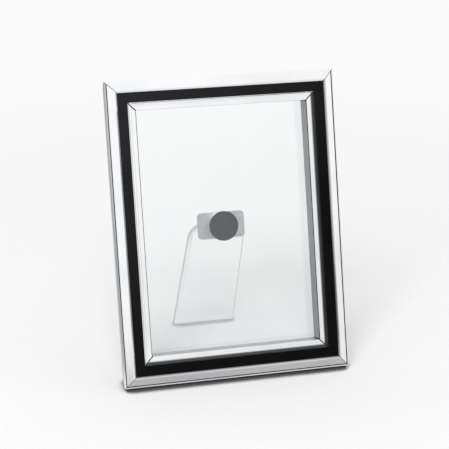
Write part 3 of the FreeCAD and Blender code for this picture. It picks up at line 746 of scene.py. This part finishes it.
# one screw, upright, with its head's underside at height 0
def makeScrew():
    size = backScrews
    shank, tip, length = size["shankRadius"], size["tip"], size["length"]
    outline = [(shank - tip, -length), (shank, tip - length), (shank, 0.0), (size["headRadius"], 0.0)]
    for i in range(size["crownSteps"] + 1):
        turn = i / size["crownSteps"] * pi / 2
        outline.append((size["headRadius"] - size["crown"] * (1 - cos(turn)),
                        size["headHeight"] - size["crown"] * (1 - sin(turn))))
    # a ring of points for each corner of the outline, closed by one flat face at each end
    facets = size["facets"]
    turns = [i / facets * 2 * pi for i in range(facets)]
    points = [(x * cos(turn) * mm, x * sin(turn) * mm, z * mm) for x, z in outline for turn in turns]
    faces = [range(facets)[::-1], range(len(points) - facets, len(points))]
    for i in range(facets):
        this, following = range(i, len(points), facets), range((i + 1) % facets, len(points), facets)
        faces += zip(this, following, following[1:], this[1:])
    data = bpy.data.meshes.new("panScrew")
    data.from_pydata(points, [], faces)
    cutter = bmesh.new()
    bmesh.ops.create_cube(cutter, size=1.0)
    slot = (3 * size["headRadius"] * mm, size["slotWidth"] * mm, 2 * size["slotDepth"] * mm)
    bmesh.ops.scale(cutter, vec=slot, verts=cutter.verts)
    bmesh.ops.translate(cutter, vec=(0, 0, size["headHeight"] * mm), verts=cutter.verts)
    slotData = bpy.data.meshes.new("slotCutter")
    cutter.to_mesh(slotData)
    cutter.free()
    screw, slotCutter = addObject("panScrew", data), addObject("slotCutter", slotData)
    cut = screw.modifiers.new("slot", "BOOLEAN")
    cut.operation = "DIFFERENCE"
    cut.object = slotCutter
    settle(screw)
    bpy.data.objects.remove(slotCutter)
    return screw


# a screw on every point, each turned as its driver left it
def makeScrewTree():
    tree = bpy.data.node_groups.new("drivenScrews", "GeometryNodeTree")
    for name, kind in [("Points", "Geometry"), ("Screw", "Object"), ("Seed", "Int"), ("Metal", "Material")]:
        tree.interface.new_socket(name=name, in_out="INPUT", socket_type="NodeSocket" + kind)
    tree.interface.new_socket(name="Screws", in_out="OUTPUT", socket_type="NodeSocketGeometry")
    given = addNode(tree, "NodeGroupInput").outputs
    screw = addNode(tree, "GeometryNodeObjectInfo", {}, {"Object": given["Screw"]})
    turn = addNode(tree, "FunctionNodeRandomValue", {"data_type": "FLOAT"}, {
        2: 0.0, 3: 2 * pi, "Seed": given["Seed"]})
    spin = addNode(tree, "ShaderNodeCombineXYZ", {}, {2: turn.outputs[1]})
    placed = addNode(tree, "GeometryNodeInstanceOnPoints", {}, {
        "Points": given["Points"], "Instance": screw.outputs["Geometry"], "Rotation": spin.outputs[0]})
    real = addNode(tree, "GeometryNodeRealizeInstances", {}, {"Geometry": placed.outputs[0]})
    plated = addNode(tree, "GeometryNodeSetMaterial", {}, {
        "Geometry": real.outputs[0], "Material": given["Metal"]})
    addNode(tree, "NodeGroupOutput", {}, {0: plated.outputs[0]})
    return tree


oneScrew = makeScrew()
screwTree = makeScrewTree()
# lays the screws' own Z axis along the depth of the frame
faceBack = leaned @ Matrix.Rotation(-pi / 2, 4, "X")
for kind, node in [("key", "key_screws"), ("clip", "clip_screws")]:
    points = bpy.data.meshes.new(node)
    place = backScrews[kind]
    spots = [(x * sideX, z * sideZ) for x, z in place["spots"] for sideX in (-1, 1) for sideZ in (-1, 1)]
    points.from_pydata([(x * mm, -z * mm, place["seat"] * mm) for x, z in spots], [], [])
    group = addObject(kind + "_pan_screws", points)
    modifier = group.modifiers.new("screws", "NODES")
    modifier.node_group = screwTree
    setInputs(modifier, {"Screw": oneScrew, "Seed": backScrews["seed"], "Metal": zincPlate})
    settle(group, faceBack)
    standsFor(shadeRounded(group), "frame", "screw_steel", node)
bpy.data.objects.remove(oneScrew)
print("screws made")


# Studio

# lengths in metres, except the floor's flecks in mm
studio = {
    "floorColour": "#F7F7F7", "floorFleck": "#F5F5F6", "fleckSize": (3.0, 3.0, 3.0),
    "floorReach": 6.0, "floorParts": 12, "fadeStart": 0.1, "fadeEnd": 0.95,
    # the crack under the frame, under the leg's foot and beside the frame
    "crackReach": 0.008, "crackSamples": 8, "crackDeep": 0.54, "crackOpen": 0.87,
    "frameCrack": 0.13, "footCrack": 0.55, "footDepth": 0.03,
    "besideStart": 0.079, "besideFull": 0.084, "besideCrack": 0.8,
    # painted darker reflection of the table in the metal: close in front of the frame, and far to its left
    "paintedReflectionStart": -0.0598, "paintedReflectionFull": -0.0612, "paintedReflectionReach": (0.014, 0.032), "paintedReflectionShade": 0.38,
    "leftStart": -0.12, "leftFull": -0.25, "leftFloorShade": 0.55,
    # the room, its light on matt surfaces, and its low front and left end
    "background": "#FAFAFB", "worldStrength": 1.08,
    "horizonLight": 0.22, "zenithLight": 0.79,
    "darkFront": (0.5, -0.86, -0.05), "frontStart": 0.9, "frontFull": 0.985, "frontShade": 0.76,
    "darkLeftStart": -0.93, "darkLeftEnd": -0.985, "leftShade": 0.5,
    "keyPower": 138.0, "keySize": (3.0, 2.2), "keyPlace": (-1.5, -3.2, 3.6), "keyAim": (0, 0, 0.1),
}


# pale paper floor that fades into the white background far away
def makeFloor():
    material, tree = emptyMaterial("palePaper")
    place = addNode(tree, "ShaderNodeTexCoord").outputs["Object"]
    colour = addNode(tree, "ShaderNodeMix", colourMix, {
        0: unevenness(tree, place, studio["fleckSize"]),
        6: linear(studio["floorColour"]), 7: linear(studio["floorFleck"])})
    # the crack under the frame is drawn darker than its light alone gives,
    # beside it and under the clear foot only a little
    path = addNode(tree, "ShaderNodeLightPath").outputs
    spot = addNode(tree, "ShaderNodeSeparateXYZ", {}, {0: place}).outputs
    crack = addNode(tree, "ShaderNodeAmbientOcclusion", {"samples": studio["crackSamples"]}, {
        "Distance": studio["crackReach"]})
    clearer = addNode(tree, "ShaderNodeMapRange", {}, {
        "Value": spot["Y"], "From Max": studio["footDepth"],
        "To Min": studio["frameCrack"], "To Max": studio["footCrack"]})
    aside = addNode(tree, "ShaderNodeMath", absolute, {0: spot["X"]})
    beside = addNode(tree, "ShaderNodeMapRange", smoothStep, {
        "Value": aside.outputs[0], "From Min": studio["besideStart"], "From Max": studio["besideFull"],
        "To Max": studio["besideCrack"]})
    deepest = addNode(tree, "ShaderNodeMath", maximum, {
        0: clearer.outputs["Result"], 1: beside.outputs["Result"]})
    inCrack = addNode(tree, "ShaderNodeMapRange", smoothStep, {
        "Value": crack.outputs["AO"], "From Min": studio["crackDeep"], "From Max": studio["crackOpen"],
        "To Min": deepest.outputs[0]})
    # a ray through clear sheet counts as glossy too, so those are taken off
    mirror = addNode(tree, "ShaderNodeMath", {"operation": "SUBTRACT", "use_clamp": True}, {
        0: path["Is Glossy Ray"], 1: path["Is Transmission Ray"]})
    shaded = addNode(tree, "ShaderNodeMath", maximum, {0: inCrack.outputs["Result"], 1: mirror.outputs[0]})
    lit = addNode(tree, "ShaderNodeMix", {"data_type": "RGBA", "blend_type": "MULTIPLY"}, {
        0: 1.0, 6: colour.outputs[2], 7: addNode(tree, "ShaderNodeCombineColor", {}, {
            "Red": shaded.outputs[0], "Green": shaded.outputs[0], "Blue": shaded.outputs[0]}).outputs[0]})
    surface = addNode(tree, "ShaderNodeBsdfDiffuse", {}, {"Color": lit.outputs[2]})
    white = addNode(tree, "ShaderNodeEmission", {}, {"Color": linear(studio["background"]), "Strength": 1.0})
    distance = addNode(tree, "ShaderNodeVectorMath", {"operation": "LENGTH"}, {0: place})
    fade = addNode(tree, "ShaderNodeMapRange", smoothStep, {
        "Value": distance.outputs["Value"], "From Min": studio["fadeStart"], "From Max": studio["fadeEnd"]})
    direct = addNode(tree, "ShaderNodeMath", maximum, {0: path["Is Camera Ray"], 1: path["Is Glossy Ray"]})
    seen = addNode(tree, "ShaderNodeMath", maximum, {0: direct.outputs[0], 1: path["Is Transmission Ray"]})
    share = addNode(tree, "ShaderNodeMath", multiply, {0: fade.outputs["Result"], 1: seen.outputs[0]})
    both = addNode(tree, "ShaderNodeMixShader", {}, {
        0: share.outputs[0], 1: surface.outputs[0], 2: white.outputs[0]})
    # painted reflection: in the metal the table close in front of the frame and far to its left mirrors
    # darker than it looks
    near = addNode(tree, "ShaderNodeMapRange", smoothStep, {
        "Value": spot["Y"], "From Min": studio["paintedReflectionStart"], "From Max": studio["paintedReflectionFull"],
        "To Max": studio["paintedReflectionShade"]})
    close = addNode(tree, "ShaderNodeMapRange", smoothStep, {
        "Value": path["Ray Length"],
        "From Min": studio["paintedReflectionReach"][1], "From Max": studio["paintedReflectionReach"][0]})
    band = addNode(tree, "ShaderNodeMath", multiply, {0: near.outputs["Result"], 1: close.outputs["Result"]})
    left = addNode(tree, "ShaderNodeMapRange", smoothStep, {
        "Value": spot["X"], "From Min": studio["leftStart"], "From Max": studio["leftFull"],
        "To Max": studio["leftFloorShade"]})
    darker = addNode(tree, "ShaderNodeMath", maximum, {0: band.outputs[0], 1: left.outputs["Result"]})
    mirrored = addNode(tree, "ShaderNodeMath", multiply, {0: darker.outputs[0], 1: mirror.outputs[0]})
    paintedReflection = addNode(tree, "ShaderNodeEmission", {}, {"Color": (0, 0, 0, 1)})
    whole = addNode(tree, "ShaderNodeMixShader", {}, {
        0: mirrored.outputs[0], 1: both.outputs[0], 2: paintedReflection.outputs[0]})
    addNode(tree, "ShaderNodeOutputMaterial", {}, {"Surface": whole.outputs[0]})
    grid = bmesh.new()
    parts = studio["floorParts"]
    bmesh.ops.create_grid(grid, x_segments=parts, y_segments=parts, size=studio["floorReach"])
    mesh = bpy.data.meshes.new("paperFloor")
    grid.to_mesh(mesh)
    grid.free()
    mesh.materials.append(material)
    addObject("paperFloor", mesh)


# white room with a darker left end and a darker low front, which give the metal its tones
def makeWorld():
    world = bpy.data.worlds.new("whiteRoom")
    bpy.context.scene.world = world
    world.use_nodes = True
    tree = world.node_tree
    tree.nodes.clear()
    direction = addNode(tree, "ShaderNodeTexCoord").outputs["Generated"]
    left = addNode(tree, "ShaderNodeSeparateXYZ", {}, {0: direction})
    beside = addNode(tree, "ShaderNodeMapRange", smoothStep, {
        "Value": left.outputs["X"], "From Min": studio["darkLeftEnd"], "From Max": studio["darkLeftStart"],
        "To Min": studio["leftShade"], "To Max": 1.0})
    front = addNode(tree, "ShaderNodeVectorMath", {"operation": "DOT_PRODUCT"}, {
        0: direction, 1: Vector(studio["darkFront"]).normalized()})
    ahead = addNode(tree, "ShaderNodeMapRange", smoothStep, {
        "Value": front.outputs["Value"], "From Min": studio["frontStart"], "From Max": studio["frontFull"],
        "To Min": 1.0, "To Max": studio["frontShade"]})
    mirrored = addNode(tree, "ShaderNodeMath", multiply, {
        0: beside.outputs["Result"], 1: ahead.outputs["Result"]})
    # matt surfaces get more light from above than from the horizon,
    # which keeps the shadow under the frame dark
    path = addNode(tree, "ShaderNodeLightPath").outputs
    toMatt = addNode(tree, "ShaderNodeMath", greaterThan, {0: path["Diffuse Depth"], 1: atLeastOne})
    fromAbove = addNode(tree, "ShaderNodeMapRange", {}, {
        "Value": left.outputs["Z"], "To Min": studio["horizonLight"], "To Max": studio["zenithLight"]})
    level = addNode(tree, "ShaderNodeMix", {"data_type": "FLOAT"}, {
        0: toMatt.outputs[0], 2: mirrored.outputs[0], 3: fromAbove.outputs["Result"]})
    grey = addNode(tree, "ShaderNodeCombineXYZ", {}, {
        0: level.outputs[0], 1: level.outputs[0], 2: level.outputs[0]})
    room = addNode(tree, "ShaderNodeBackground", {}, {
        "Color": grey.outputs[0], "Strength": studio["worldStrength"]})
    white = addNode(tree, "ShaderNodeBackground", {}, {
        "Color": linear(studio["background"]), "Strength": 1.0})
    both = addNode(tree, "ShaderNodeMixShader", {}, {
        0: path["Is Camera Ray"], 1: room.outputs[0], 2: white.outputs[0]})
    addNode(tree, "ShaderNodeOutputWorld", {}, {"Surface": both.outputs[0]})


# a large soft lamp above the front left; the metal doesn't mirror it
def makeLamp():
    lamp = bpy.data.lights.new("overheadSoftbox", "AREA")
    lamp.shape = "RECTANGLE"
    lamp.size, lamp.size_y = studio["keySize"]
    lamp.energy = studio["keyPower"]
    obj = addObject("overheadSoftbox", lamp)
    obj.visible_glossy = False
    obj.location = studio["keyPlace"]
    obj.rotation_euler = (Vector(studio["keyAim"]) - obj.location).to_track_quat("-Z", "Y").to_euler()


makeFloor()
makeWorld()
makeLamp()
bpy.context.scene.view_settings.view_transform = "Standard"
print("studio made")


# Camera at the photograph's angle

# lens and sensor in mm, angles in degrees, distances in metres
view = {
    "lens": 116.3, "sensor": 36.0, "yaw": 14.2, "elevation": 19.3,
    "distance": 1.0226, "aside": -0.00444, "above": 0.0024,
}


# looks at the middle of the window, a little beside and above it
def makeCamera():
    yaw, elevation = radians(view["yaw"]), radians(view["elevation"])
    turn = Matrix.Rotation(-yaw, 3, "Z") @ Matrix.Rotation(pi / 2 - elevation, 3, "X")
    right, up, back = turn.col[0], turn.col[1], turn.col[2]
    camera = bpy.data.cameras.new("photoCamera")
    camera.lens = view["lens"]
    camera.sensor_width = view["sensor"]
    obj = addObject("photoCamera", camera)
    spot = windowCentre + right * view["aside"] + up * view["above"] + back * view["distance"]
    obj.matrix_world = Matrix.Translation(spot) @ turn.to_4x4()
    bpy.context.scene.camera = obj


makeCamera()
print("camera set")
